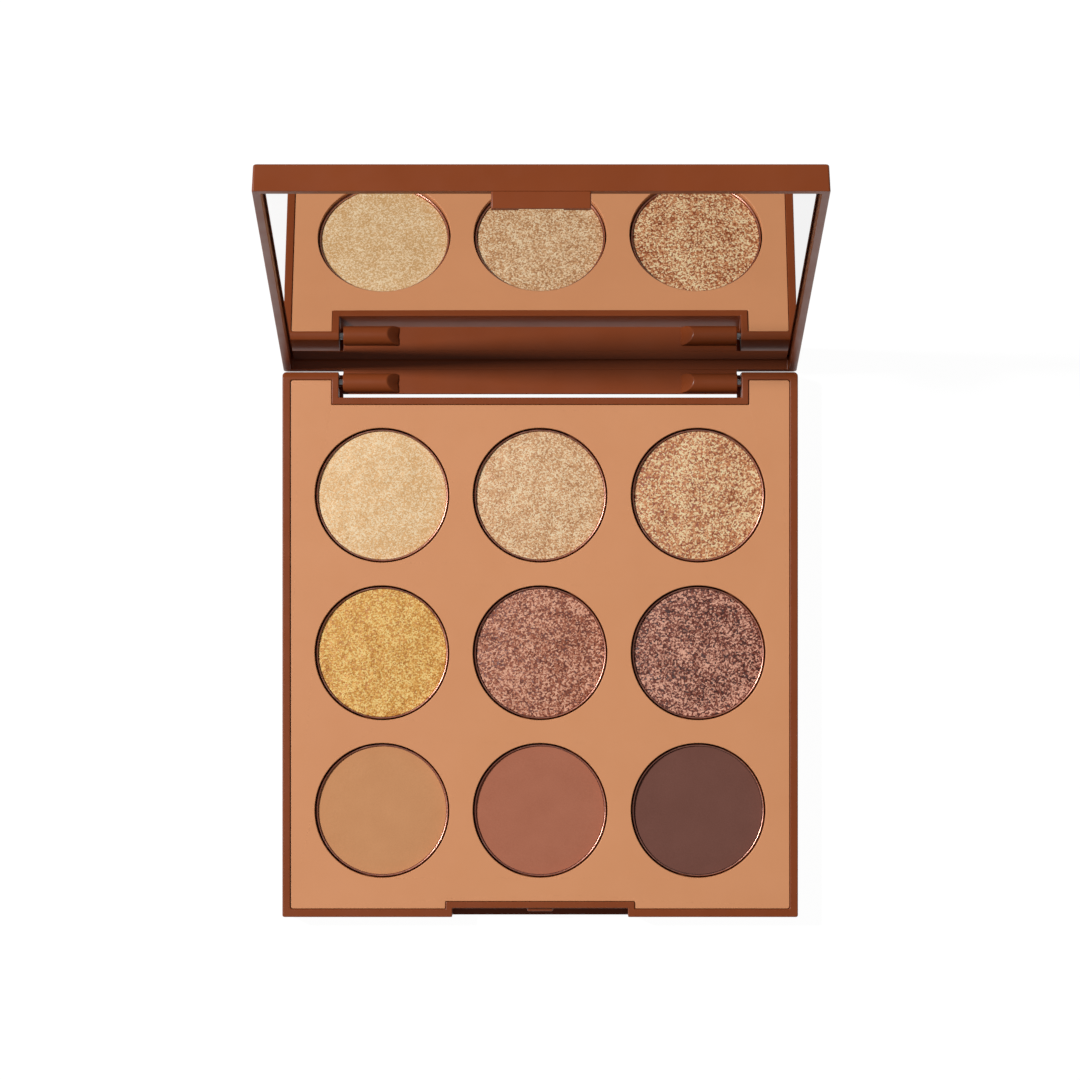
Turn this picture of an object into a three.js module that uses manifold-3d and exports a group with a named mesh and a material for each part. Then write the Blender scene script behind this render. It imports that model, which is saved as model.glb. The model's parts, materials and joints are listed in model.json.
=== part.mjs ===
// Nine-pan eyeshadow palette: a hinged moulded case with a mirror in its lid, standing open on its hinge stop.
//
// Millimetres, +Z up. The origin is the centre of the base's underside, +X is to the right and +Y is towards
// the hinge. The lid is drawn closed, about the hinge axis, in a group that is then swung open.

import * as THREE from 'three';
import { mergeVertices } from 'three/addons/utils/BufferGeometryUtils.js';
import Module from 'manifold-3d';

const wasm = await Module();
wasm.setup();

// Pans and powders. The size of a pan and the margins round the openings set the width and length of the case.
const panDiameter = 26.6;
const panRimBelowInsert = 0.89;
const panWall = 0.3;
const panFloor = 0.3;
const panEdgeRadius = 0.5;
const powderSideGap = 0.05;
const powderBelowPanRim = 0.25;
const powderDish = 0.15;
const glueDiameter = 17;
const glueThickness = 0.35;
const bondGap = 0.03;
const apertureClearance = 0.3;
const columnBridge = 4.7;
const rowBridge = 4.6;
const sideMargin = 6.5;
const rearMargin = 11.3;
const frontMargin = 7.9;

// Base moulding.
const baseHeight = 7.2;
const baseFloor = 1.4;
const rimWall = 1.6;
const draftAngle = THREE.MathUtils.degToRad(2);
const outerEdgeRadius = 0.45;
const rearCornerRadius = 0.8;
const frontCornerRadius = 0.4;
const innerCornerRadius = 0.5;

// Thumb recess and catch nub at the front of the base.
const recessWidth = 35.5;
const recessDepth = 1.8;
const recessWall = 1.3;
const nubWidth = 5.3;
const nubReach = 0.75;
const nubHeight = 1;
const nubBelowRim = 0.8;

// Insert plate that frames the pans.
const insertFit = 0.15;
const insertBelowRim = 0.3;
const insertThickness = 1.2;
const collarWall = 0.8;

// Hinge. The axis is set in from the rear face and down from the rim of the base.
const hingeInset = 2.13;
const hingeDrop = 2.71;
const partingGap = 0.3;
const hingeShoulder = 11.35;
const knuckleDiameter = 3.9;
const knuckleLength = 11.35;
const knuckleEndGap = 0.8;
const barrelClearance = 1.1;
const bayWall = 1.4;
const bayLedgeClearance = 0.1;
const heelRadius = 1.1;
const tongueSetback = 0.1;
const tongueBelowBarrel = 0.1;
const swingClearance = 0.15;
const stopGap = 0.3;
const pinDiameter = 1.5;
const pinRunningClearance = 0.08;
const pinSeatClearance = 0.03;
const pinBelowSide = 0.8;
const pinShortOfKnuckleEnd = 1;
const bossWall = 0.65;

// Lid moulding, its latch tab and the mirror.
const lidDepth = 5.3;
const mirrorRecess = 2;
const mirrorThickness = 1.3;
const mirrorBevel = 0.3;
const mirrorFit = 0.25;
const adhesiveThickness = 0.25;
const adhesiveMargin = 4;
const tabWidth = 18;
const tabReach = 3.2;
const tabThickness = 1.2;
const tabSetback = 0.2;
const tabGrooveWidth = 8;
const nubClearance = 0.3;

// Facets of the round pieces.
const panSegments = 40;
const glueSegments = 24;
const barrelSegments = 28;
const cornerSegments = 3;

const rows = ['rear', 'middle', 'front'];
const columns = ['left', 'centre', 'right'];
const powderColours = {
  rear: [0xe0bb90, 0xd3a881, 0xc99972],
  middle: [0xd6a55e, 0xa9745f, 0x926052],
  front: [0xc58c62, 0xa66751, 0x6e4940],
};

// Sizes that follow from those above.
const apertureDiameter = panDiameter + 2 * apertureClearance;
const columnPitch = apertureDiameter + columnBridge;
const rowPitch = apertureDiameter + rowBridge;
const caseWidth = (columns.length - 1) * columnPitch + apertureDiameter + 2 * sideMargin;
const caseLength = (rows.length - 1) * rowPitch + apertureDiameter + rearMargin + frontMargin;
const rearFace = caseLength / 2;
const frontFace = -caseLength / 2;
const rearRow = rearFace - rearMargin - apertureDiameter / 2;

const hingeY = rearFace - hingeInset;
const hingeZ = baseHeight - hingeDrop;
const lidRimRise = hingeDrop + partingGap;
const knuckleRadius = knuckleDiameter / 2;
const bayHalfWidth = caseWidth / 2 - hingeShoulder;
const bayDepth = hingeInset + knuckleRadius + barrelClearance;
const tongueHalfWidth = bayHalfWidth - knuckleEndGap;
const bayFloorHalfWidth = tongueHalfWidth + bayLedgeClearance;
const pinBoreRadius = pinDiameter / 2 + pinRunningClearance;
const pinSeatRadius = pinDiameter / 2 + pinSeatClearance;
const bossRadius = pinSeatRadius + bossWall;
const insertTop = baseHeight - insertBelowRim;
const panSeat = baseFloor + glueThickness + 2 * bondGap;
const panHeight = insertTop - panRimBelowInsert - panSeat;

// The lid comes to rest where the rear edge of its rim reaches the rear face of the base.
const openAngle =
  Math.atan2(lidRimRise, hingeInset) + Math.acos((hingeInset + stopGap) / Math.hypot(hingeInset, lidRimRise));

const casePlastic = new THREE.MeshStandardMaterial({ color: 0x7f4228, roughness: 0.38, metalness: 0 });
const insertPlastic = new THREE.MeshStandardMaterial({ color: 0xd19269, roughness: 0.5, metalness: 0 });
const panMetal = new THREE.MeshStandardMaterial({ color: 0xc9c4bc, roughness: 0.3, metalness: 1 });
const pinSteel = new THREE.MeshStandardMaterial({ color: 0xd8d8d8, roughness: 0.22, metalness: 1 });
const mirrorGlass = new THREE.MeshStandardMaterial({ color: 0xf3f4f4, roughness: 0.03, metalness: 1 });
const glue = new THREE.MeshStandardMaterial({ color: 0xe9e2c8, roughness: 0.6, metalness: 0 });
const tape = new THREE.MeshStandardMaterial({ color: 0xf2f0ea, roughness: 0.8, metalness: 0 });

// ---------------------------------------------------------------------------------------------------------
// Solids
// ---------------------------------------------------------------------------------------------------------

// A closed geometry as a solid that can be joined and cut.
function solidOf(geometry) {
  geometry.deleteAttribute('normal');
  geometry.deleteAttribute('uv');
  const welded = mergeVertices(geometry, 1e-4);
  const corners = [];
  for (let i = 0; i < welded.index.count; i += 3) {
    const [a, b, c] = [0, 1, 2].map((k) => welded.index.getX(i + k));
    if (a !== b && b !== c && c !== a) {
      corners.push(a, b, c);
    }
  }
  return new wasm.Manifold(
    new wasm.Mesh({
      numProp: 3,
      vertProperties: new Float32Array(welded.attributes.position.array),
      triVerts: new Uint32Array(corners),
    }),
  );
}

// A solid as a geometry again.
function geometryOf(solid) {
  const { vertProperties, triVerts } = solid.getMesh();
  const geometry = new THREE.BufferGeometry();
  geometry.setAttribute('position', new THREE.BufferAttribute(new Float32Array(vertProperties), 3));
  geometry.setIndex(new THREE.BufferAttribute(new Uint32Array(triVerts), 1));
  geometry.computeVertexNormals();
  return geometry;
}

function box(x0, x1, y0, y1, z0, z1) {
  const geometry = new THREE.BoxGeometry(x1 - x0, y1 - y0, z1 - z0);
  return solidOf(geometry.translate((x0 + x1) / 2, (y0 + y1) / 2, (z0 + z1) / 2));
}

// A cylinder that stands on z0.
function post(x, y, radius, z0, z1, segments) {
  const geometry = new THREE.CylinderGeometry(radius, radius, z1 - z0, segments);
  return solidOf(geometry.rotateX(Math.PI / 2).translate(x, y, (z0 + z1) / 2));
}

// A cylinder that lies along X.
function rod(x0, x1, y, z, radius, segments) {
  const geometry = new THREE.CylinderGeometry(radius, radius, x1 - x0, segments);
  return solidOf(geometry.rotateZ(Math.PI / 2).translate((x0 + x1) / 2, y, z));
}

// A body turned about Z from a profile of [radius, height] points that starts and ends on the axis.
function turned(profile, segments) {
  const points = profile.map(([radius, height]) => new THREE.Vector2(radius, height));
  return geometryOf(solidOf(new THREE.LatheGeometry(points, segments).rotateX(Math.PI / 2)));
}

// A section drawn in Y and Z, carried along X from x0 to x1.
function beam(section, x0, x1) {
  const geometry = new THREE.ExtrudeGeometry(section, {
    depth: x1 - x0,
    bevelEnabled: false,
    curveSegments: 6,
  });
  return solidOf(geometry.rotateY(Math.PI / 2).rotateX(Math.PI / 2).translate(x0, 0, 0));
}

// A rectangle centred on the case with its own radius at the rear and front corners.
function caseOutline(width, front, rear, frontRadius, rearRadius) {
  const half = width / 2;
  const outline = new THREE.Shape();
  outline.moveTo(-half + frontRadius, front);
  outline.lineTo(half - frontRadius, front);
  outline.absarc(half - frontRadius, front + frontRadius, frontRadius, -Math.PI / 2, 0);
  outline.lineTo(half, rear - rearRadius);
  outline.absarc(half - rearRadius, rear - rearRadius, rearRadius, 0, Math.PI / 2);
  outline.lineTo(-half + rearRadius, rear);
  outline.absarc(-half + rearRadius, rear - rearRadius, rearRadius, Math.PI / 2, Math.PI);
  outline.lineTo(-half, front + frontRadius);
  outline.absarc(-half + frontRadius, front + frontRadius, frontRadius, Math.PI, 1.5 * Math.PI);
  return outline;
}

// An upright block on an outline, from z0 to z1.
function block(outline, z0, z1) {
  const geometry = new THREE.ExtrudeGeometry(outline, {
    depth: z1 - z0,
    bevelEnabled: false,
    curveSegments: cornerSegments,
  });
  return solidOf(geometry.translate(0, 0, z0));
}

// A block whose outline is drawn in towards the middle by each level's inset.
function profiledBlock(outline, levels) {
  const geometry = new THREE.ExtrudeGeometry(outline, {
    depth: levels.length - 1,
    steps: levels.length - 1,
    bevelEnabled: false,
    curveSegments: cornerSegments,
  });
  const position = geometry.attributes.position;
  for (let i = 0; i < position.count; i += 1) {
    const level = levels[Math.round(position.getZ(i))];
    const x = position.getX(i);
    const y = position.getY(i);
    position.setXYZ(i, x - Math.sign(x) * level.inset, y - Math.sign(y) * level.inset, level.z);
  }
  return solidOf(geometry);
}

// The outside of a shell: its walls draw in from the rim, at z 0, by the draft angle and end in a rounded edge
// at the given depth.
function shellBlock(depth) {
  const edgeSteps = 3;
  const levels = [{ z: 0, inset: 0 }];
  for (let step = 0; step <= edgeSteps; step += 1) {
    const turn = (step / edgeSteps) * (Math.PI / 2);
    const z = depth - outerEdgeRadius * (1 - Math.sin(turn));
    levels.push({ z, inset: z * Math.tan(draftAngle) + outerEdgeRadius * (1 - Math.cos(turn)) });
  }
  return profiledBlock(
    caseOutline(caseWidth, frontFace, rearFace, frontCornerRadius, rearCornerRadius),
    levels,
  );
}

// What the base's inner wall leaves for the insert plate, less a clearance all round.
function cavity(clearance, z0, z1) {
  const inset = rimWall + clearance;
  const radius = innerCornerRadius;
  const outline = caseOutline(caseWidth - 2 * inset, frontFace + inset, rearFace - inset, radius, radius);
  const bayHalf = bayHalfWidth + bayWall + clearance;
  const bayFront = rearFace - bayDepth - bayWall - clearance;
  const recessHalf = recessWidth / 2 + recessWall + clearance;
  const recessBack = frontFace + recessDepth + recessWall + clearance;
  return block(outline, z0, z1)
    .subtract(box(-bayHalf, bayHalf, bayFront, rearFace, z0 - 1, z1 + 1))
    .subtract(box(-recessHalf, recessHalf, frontFace, recessBack, z0 - 1, z1 + 1));
}

function node(name, geometry, material) {
  const mesh = new THREE.Mesh(geometry, material);
  mesh.name = name;
  return mesh;
}

// The centre of every pan with the names of its row and column.
function panPlaces() {
  return rows.flatMap((row, r) =>
    columns.map((column, c) => ({
      row,
      column,
      index: c,
      x: (c - (columns.length - 1) / 2) * columnPitch,
      y: rearRow - r * rowPitch,
    })),
  );
}

// ---------------------------------------------------------------------------------------------------------
// Base
// ---------------------------------------------------------------------------------------------------------

// Everything past the arc that the lid's rim sweeps about the hinge, behind and above the axis.
function rearEdgeRelief() {
  const reach = caseWidth / 2 + 1;
  const corner = box(-reach, reach, hingeY, rearFace + 1, hingeZ, baseHeight + 1);
  return corner.subtract(rod(-reach, reach, hingeY, hingeZ, lidRimRise - swingClearance, 2 * barrelSegments));
}

// The boss that holds a pin in the corner of the base, as a full-height rib round the pin's bore.
function pinBoss(side) {
  const inner = side * bayHalfWidth;
  const outer = side * (caseWidth / 2 - rimWall / 2);
  const top = Math.min(hingeZ + bossRadius, insertTop - insertThickness - insertFit);
  return box(
    Math.min(inner, outer),
    Math.max(inner, outer),
    hingeY - bossRadius,
    rearFace - rimWall / 2,
    baseFloor / 2,
    top,
  );
}

function baseShell() {
  let shell = shellBlock(baseHeight).mirror([0, 0, 1]).translate(0, 0, baseHeight);
  shell = shell.subtract(cavity(0, baseFloor, baseHeight + 1));
  shell = shell.subtract(rearEdgeRelief());
  shell = shell.add(pinBoss(-1)).add(pinBoss(1));
  const bayFront = rearFace - bayDepth;
  shell = shell.subtract(box(-bayHalfWidth, bayHalfWidth, bayFront, rearFace + 1, baseFloor, baseHeight + 1));
  shell = shell.subtract(box(-bayFloorHalfWidth, bayFloorHalfWidth, bayFront, rearFace + 1, -1, baseFloor + 1));
  const recessBack = frontFace + recessDepth;
  const recessHalf = recessWidth / 2;
  shell = shell.subtract(box(-recessHalf, recessHalf, frontFace - 1, recessBack, baseFloor, baseHeight + 1));
  const nubTop = baseHeight - nubBelowRim;
  const nubSection = new THREE.Shape();
  nubSection.moveTo(recessBack + recessWall / 2, nubTop);
  nubSection.lineTo(recessBack, nubTop);
  nubSection.lineTo(recessBack - nubReach, nubTop - nubHeight / 2);
  nubSection.lineTo(recessBack, nubTop - nubHeight);
  nubSection.lineTo(recessBack + recessWall / 2, nubTop - nubHeight);
  shell = shell.add(beam(nubSection, -nubWidth / 2, nubWidth / 2));
  const reach = caseWidth / 2 + 1;
  shell = shell.subtract(rod(-reach, reach, hingeY, hingeZ, pinSeatRadius, barrelSegments));
  return geometryOf(shell);
}

function insertPlate() {
  const plateBottom = insertTop - insertThickness;
  const collarTop = insertTop - insertThickness / 2;
  let plate = cavity(insertFit, plateBottom, insertTop);
  for (const { x, y } of panPlaces()) {
    const collarRadius = apertureDiameter / 2 + collarWall;
    plate = plate.add(post(x, y, collarRadius, baseFloor + bondGap, collarTop, panSegments));
  }
  for (const { x, y } of panPlaces()) {
    plate = plate.subtract(post(x, y, apertureDiameter / 2, 0, insertTop + 1, panSegments));
  }
  return geometryOf(plate);
}

function panCup() {
  const outer = panDiameter / 2;
  const inner = outer - panWall;
  return turned(
    [
      [0, 0],
      [outer - panEdgeRadius, 0],
      [outer, panEdgeRadius],
      [outer, panHeight],
      [inner, panHeight],
      [inner, panFloor],
      [0, panFloor],
    ],
    panSegments,
  );
}

// Pressed powder: it fills the pan and its face is dished a little towards the middle.
function powderCake() {
  const radius = panDiameter / 2 - panWall - powderSideGap;
  const bottom = panFloor + bondGap;
  const edge = panHeight - powderBelowPanRim;
  return turned(
    [
      [0, bottom],
      [radius, bottom],
      [radius, edge],
      [radius * 0.9, edge - powderDish],
      [0, edge - powderDish],
    ],
    panSegments,
  );
}

function glueDisc() {
  const radius = glueDiameter / 2;
  return turned(
    [
      [0, 0],
      [radius, 0],
      [radius, glueThickness],
      [0, glueThickness],
    ],
    glueSegments,
  );
}

// A steel pin, driven in from the side of the case through the corner boss and into the lid's knuckle.
function hingePin() {
  const outer = caseWidth / 2 - pinBelowSide;
  const inner = tongueHalfWidth - knuckleLength + knuckleDiameter / 2 + pinShortOfKnuckleEnd;
  return geometryOf(rod(inner, outer, 0, 0, pinDiameter / 2, barrelSegments));
}

// ---------------------------------------------------------------------------------------------------------
// Lid, drawn closed. Z is measured from its rim plane and Y from the centre of the case.
// ---------------------------------------------------------------------------------------------------------

const lidCavityDepth = mirrorRecess + mirrorThickness + adhesiveThickness + 2 * bondGap;

function pocketOutline(clearance) {
  const inset = rimWall + clearance;
  const radius = innerCornerRadius;
  return caseOutline(caseWidth - 2 * inset, frontFace + inset, rearFace - inset, radius, radius);
}

// The rear wall of the lid carried down into the hinge bay, with its heel rounded off.
function tongue() {
  const foot = -lidRimRise - knuckleRadius - tongueBelowBarrel;
  const inner = rearFace - rimWall + tongueSetback;
  const outer = rearFace - tongueSetback;
  const root = rimWall / 2;
  const heel = Math.min(heelRadius, outer - inner);
  const section = new THREE.Shape();
  section.moveTo(inner, foot);
  section.lineTo(outer - heel, foot);
  section.absarc(outer - heel, foot + heel, heel, -Math.PI / 2, 0);
  section.lineTo(outer, root);
  section.lineTo(inner, root);
  return beam(section, -tongueHalfWidth, tongueHalfWidth);
}

// A hinge barrel: square at its outer end and cut at 45 degrees at its inner end.
function knuckle(side) {
  const outer = tongueHalfWidth;
  const inner = tongueHalfWidth - knuckleLength;
  const front = hingeY - knuckleDiameter;
  const rear = rearFace - rimWall / 2;
  const rampFoot = rearFace - rimWall;
  const plan = new THREE.Shape();
  plan.moveTo(outer, rear);
  plan.lineTo(inner, rear);
  plan.lineTo(inner, rampFoot);
  plan.lineTo(inner + rampFoot - front, front);
  plan.lineTo(outer, front);
  const low = -lidRimRise - knuckleRadius - 1;
  const high = -lidRimRise + knuckleRadius + 1;
  const cut = block(plan, low, high);
  const barrel = rod(inner, outer, hingeY, -lidRimRise, knuckleRadius, barrelSegments).intersect(cut);
  return side > 0 ? barrel : barrel.mirror([1, 0, 0]);
}

// The latch tab at the front of the lid, with a groove up its inner face that clears the nub.
function latchTab() {
  const face = frontFace + tabSetback;
  const back = face + tabThickness;
  const grooveFace = frontFace + recessDepth - nubReach - nubClearance;
  return box(-tabWidth / 2, tabWidth / 2, face, back, -tabReach, rimWall / 2).subtract(
    box(-tabGrooveWidth / 2, tabGrooveWidth / 2, grooveFace, back + 1, -tabReach - 1, 0),
  );
}

function lidShell() {
  let shell = shellBlock(lidDepth);
  shell = shell.subtract(block(pocketOutline(0), -1, lidCavityDepth));
  shell = shell.add(tongue()).add(knuckle(-1)).add(knuckle(1)).add(latchTab());
  const reach = caseWidth / 2 + 1;
  const pinEnd = tongueHalfWidth - knuckleLength + knuckleDiameter / 2;
  shell = shell.subtract(rod(pinEnd, reach, hingeY, -lidRimRise, pinBoreRadius, barrelSegments));
  shell = shell.subtract(rod(-reach, -pinEnd, hingeY, -lidRimRise, pinBoreRadius, barrelSegments));
  return geometryOf(shell);
}

// The mirror, with a narrow ground bevel round its face.
function mirrorPane() {
  const levels = [
    { z: mirrorRecess, inset: mirrorBevel },
    { z: mirrorRecess + mirrorBevel, inset: 0 },
    { z: mirrorRecess + mirrorThickness, inset: 0 },
  ];
  return geometryOf(profiledBlock(pocketOutline(mirrorFit), levels));
}

function adhesiveSheet() {
  const start = mirrorRecess + mirrorThickness + bondGap;
  return geometryOf(block(pocketOutline(adhesiveMargin), start, start + adhesiveThickness));
}

// ---------------------------------------------------------------------------------------------------------
// Assembly
// ---------------------------------------------------------------------------------------------------------

function buildBase() {
  const base = new THREE.Group();
  base.add(node('base_shell', baseShell(), casePlastic));
  base.add(node('insert_plate', insertPlate(), insertPlastic));
  for (const { row, column, index, x, y } of panPlaces()) {
    const colour = powderColours[row][index];
    const powder = new THREE.MeshStandardMaterial({ color: colour, roughness: 0.85, metalness: 0 });
    const glueMesh = node(`glue_disc_${row}_${column}`, glueDisc(), glue);
    glueMesh.position.set(x, y, baseFloor + bondGap);
    const panMesh = node(`pan_${row}_${column}`, panCup(), panMetal);
    panMesh.position.set(x, y, panSeat);
    const powderMesh = node(`powder_${row}_${column}`, powderCake(), powder);
    powderMesh.position.set(x, y, panSeat);
    base.add(glueMesh, panMesh, powderMesh);
  }
  const rightPin = node('hinge_pin_right', hingePin(), pinSteel);
  rightPin.position.set(0, hingeY, hingeZ);
  const leftPin = node('hinge_pin_left', hingePin(), pinSteel);
  leftPin.position.set(0, hingeY, hingeZ);
  leftPin.rotation.z = Math.PI;
  base.add(rightPin, leftPin);
  return base;
}

function buildLid() {
  const lid = new THREE.Group();
  lid.add(node('lid_shell', lidShell(), casePlastic));
  lid.add(node('mirror', mirrorPane(), mirrorGlass));
  lid.add(node('mirror_adhesive', adhesiveSheet(), tape));
  for (const piece of lid.children) {
    piece.position.set(0, -hingeY, lidRimRise);
  }
  lid.position.set(0, hingeY, hingeZ);
  lid.rotation.x = -openAngle;
  return lid;
}

const palette = new THREE.Group();
palette.add(buildBase(), buildLid());

export default palette;
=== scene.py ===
"""Nine-pan eyeshadow palette, standing open on its hinge stop.

Finished surfaces round the working model, in metres: +Z up, the origin in the middle of the base's underside,
+X to the right and +Y towards the hinge.
"""
import json
import math

import bmesh
import bpy
import numpy as np
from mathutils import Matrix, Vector
from mathutils.geometry import tessellate_polygon


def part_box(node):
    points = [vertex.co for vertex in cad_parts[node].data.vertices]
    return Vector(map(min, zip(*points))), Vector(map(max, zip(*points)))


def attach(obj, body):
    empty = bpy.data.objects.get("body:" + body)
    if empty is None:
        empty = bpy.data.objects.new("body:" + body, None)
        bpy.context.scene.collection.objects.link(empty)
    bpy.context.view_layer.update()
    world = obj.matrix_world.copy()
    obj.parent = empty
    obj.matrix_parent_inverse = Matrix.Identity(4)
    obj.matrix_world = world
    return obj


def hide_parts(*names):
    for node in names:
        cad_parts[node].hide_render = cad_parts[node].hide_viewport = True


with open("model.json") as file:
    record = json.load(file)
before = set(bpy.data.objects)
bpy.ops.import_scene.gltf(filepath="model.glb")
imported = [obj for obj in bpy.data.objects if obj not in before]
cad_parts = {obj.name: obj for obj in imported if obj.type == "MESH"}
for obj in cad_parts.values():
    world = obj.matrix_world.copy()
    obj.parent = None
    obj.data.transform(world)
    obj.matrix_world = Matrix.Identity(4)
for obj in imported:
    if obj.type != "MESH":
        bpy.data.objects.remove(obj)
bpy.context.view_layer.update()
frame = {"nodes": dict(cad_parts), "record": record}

MM = 0.001

# --- Places, from the working model ----------------------------------------------------------------------

ROWS = ("rear", "middle", "front")
COLUMNS = ("left", "centre", "right")
PLACES = [(row, column) for row in ROWS for column in COLUMNS]

base_low, base_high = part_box("base_shell")
HALF_WIDTH = base_high.x
FRONT, REAR = base_low.y, base_high.y
BASE_HEIGHT = base_high.z
hinge = frame["record"]["behaviour"]["joints"][0]
HINGE_Y, HINGE_Z = hinge["pos_m"][1:]
OPEN_ANGLE = math.radians(hinge["range_deg"][1])

# --- Sizes of the mouldings ------------------------------------------------------------------------------

FLOOR = 1.4 * MM
RIM_WALL = 1.6 * MM
DRAFT = math.tan(math.radians(2))
EDGE_RADIUS = 0.45 * MM
REAR_CORNER = 0.8 * MM
FRONT_CORNER = 0.4 * MM
INNER_CORNER = 0.5 * MM
RIM_EDGE = 0.16 * MM
NOTCH_CORNER = 0.2 * MM

BAY_HALF = HALF_WIDTH - 11.35 * MM
BAY_FRONT = REAR - 5.18 * MM
BAY_WALL = 1.4 * MM
BAY_LEDGE = 0.7 * MM
LEDGE_CORNER = 0.08 * MM
LEDGE_EDGE = 0.06 * MM
LEDGE_SINK = 0.02 * MM
LEDGE_SETBACK = 0.05 * MM
RECESS_HALF = 17.75 * MM
RECESS_BACK = FRONT + 1.8 * MM
RECESS_WALL = 1.3 * MM
RECESS_SUPPORT = 0.12 * MM
SWING_RADIUS = 2.86 * MM

NUB_WIDTH = 5.3 * MM
NUB_REACH = 0.75 * MM
NUB_HEIGHT = 1.0 * MM
NUB_TOP = BASE_HEIGHT - 0.8 * MM
NUB_ROOT = 0.5 * MM
NUB_END = 0.35 * MM
NUB_DRAW_IN = 0.45
NUB_EASE = 0.03

INSERT_FIT = 0.08 * MM
INSERT_TOP = BASE_HEIGHT - 0.3 * MM
INSERT_BOTTOM = INSERT_TOP - 1.2 * MM
INSERT_EDGE = 0.14 * MM
APERTURE_CLEARANCE = 0.3 * MM
APERTURE_LIP = 0.14 * MM
COLLAR_WALL = 0.8 * MM
COLLAR_FOOT = FLOOR + 0.03 * MM

LID_DEPTH = 5.3 * MM
LID_RISE = 3.01 * MM
LID_CAVITY = 3.61 * MM
MIRROR_FACE = 2.0 * MM
MIRROR_BACK = MIRROR_FACE + 1.3 * MM
MIRROR_BEVEL = 0.3 * MM
MIRROR_FIT = 0.25 * MM

BARREL_RADIUS = 1.95 * MM
BARREL_LENGTH = 11.35 * MM
BARREL_EDGE = 0.18 * MM
TONGUE_HALF = BAY_HALF - 0.8 * MM
TONGUE_SETBACK = 0.1 * MM
TONGUE_FOOT = -LID_RISE - BARREL_RADIUS - 0.1 * MM
TONGUE_HEEL = 1.1 * MM
TONGUE_EDGE = 0.1 * MM
TONGUE_CORNER = 0.05 * MM
PIN_RADIUS = 0.75 * MM
PIN_BORE = PIN_RADIUS + 0.08 * MM
PIN_SEAT = PIN_RADIUS + 0.03 * MM
PIN_BORE_END = TONGUE_HALF - BARREL_LENGTH + BARREL_RADIUS
BOSS_WALL = 0.65 * MM
BOSS_EDGE = 0.15 * MM

TAB_HALF = 9.0 * MM
TAB_FACE = FRONT + 0.2 * MM
TAB_BACK = TAB_FACE + 1.2 * MM
TAB_REACH = 3.2 * MM
TAB_CORNER = 0.3 * MM
TAB_FOOT_EDGE = 0.18 * MM
GROOVE_CORNER = 0.1 * MM
TAB_GROOVE_HALF = 4.0 * MM
TAB_GROOVE_FACE = RECESS_BACK - NUB_REACH - 0.3 * MM

PAN_WALL = 0.3 * MM
PAN_FLOOR = 0.3 * MM
PAN_CORNER = 0.5 * MM
POWDER_EDGE = 0.12 * MM
POWDER_FALL = 0.25 * MM
PIN_CHAMFER = 0.12 * MM

ARC_STEPS = 7
ROUND_STEPS = 128

# --- Surfaces --------------------------------------------------------------------------------------------


def quarter(steps):
    """Angles from 0 to a quarter turn."""
    return np.linspace(0, math.pi / 2, steps)


def outline(corners, radii, insets=0.0, steps=ARC_STEPS):
    """Closed outline of a square-cornered shape: every edge moves inwards by its own inset, and each corner
    becomes a quarter circle, c - r cos(t) * (edge after) + r sin(t) * (edge before), t from 0 to pi / 2.
    A point on a straight edge stays one point."""
    corners = np.array(corners)
    radii = np.broadcast_to(radii, len(corners))[:, None, None]
    insets = np.broadcast_to(insets, len(corners))[:, None]
    after = np.roll(corners, -1, axis=0) - corners
    after = after / np.linalg.norm(after, axis=1, keepdims=True)
    before = np.roll(after, 1, axis=0)
    straight = np.abs(np.sum(after * before, axis=1)) > 0.5
    inward_after = np.stack([-after[:, 1], after[:, 0]], axis=1)
    inward_before = np.roll(inward_after, 1, axis=0)
    bend = np.where(straight, 0.0, 1.0)[:, None]
    moved = corners + inward_after * insets + bend * inward_before * np.roll(insets, 1, axis=0)
    turn = quarter(steps)[None, :, None]
    centre = moved[:, None] + (after - before)[:, None] * radii
    points = centre - after[:, None] * radii * np.cos(turn) + before[:, None] * radii * np.sin(turn)
    keep = ~(straight[:, None] & (np.arange(steps) > 0)[None, :])
    return points[keep]


def level(loop, z):
    """A flat loop raised to a height, or to a height for each of its points."""
    return np.column_stack([loop, np.broadcast_to(z, len(loop))])


def revolved(profile, segments=ROUND_STEPS):
    """Rows of circles about Z: (r cos t, r sin t, h) for each (r, h) of the profile."""
    radius, height = np.array(profile).T
    turn = np.linspace(0, 2 * math.pi, segments, endpoint=False)
    flat = radius[:, None] * np.stack([np.cos(turn), np.sin(turn)])[:, None, :]
    return np.stack([flat[0], flat[1], np.broadcast_to(height[:, None], flat[0].shape)], axis=2)


def skin(rows):
    """Points and faces of a closed skin over stacked loops: each point (i, j) joins (i, j + 1) and
    (i + 1, j), j wraps round, and the first and last loops are filled."""
    rows = np.asarray(rows)
    count, around = rows.shape[:2]
    i, j = np.meshgrid(np.arange(count - 1), np.arange(around), indexing="ij")
    k = (j + 1) % around
    quads = np.stack([i * around + j, i * around + k, (i + 1) * around + k, (i + 1) * around + j], axis=-1)
    faces = quads.reshape(-1, 4).tolist()
    faces.append(list(range(around)))
    faces.append(list(range((count - 1) * around, count * around)))
    return rows.reshape(-1, 3), faces


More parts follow.
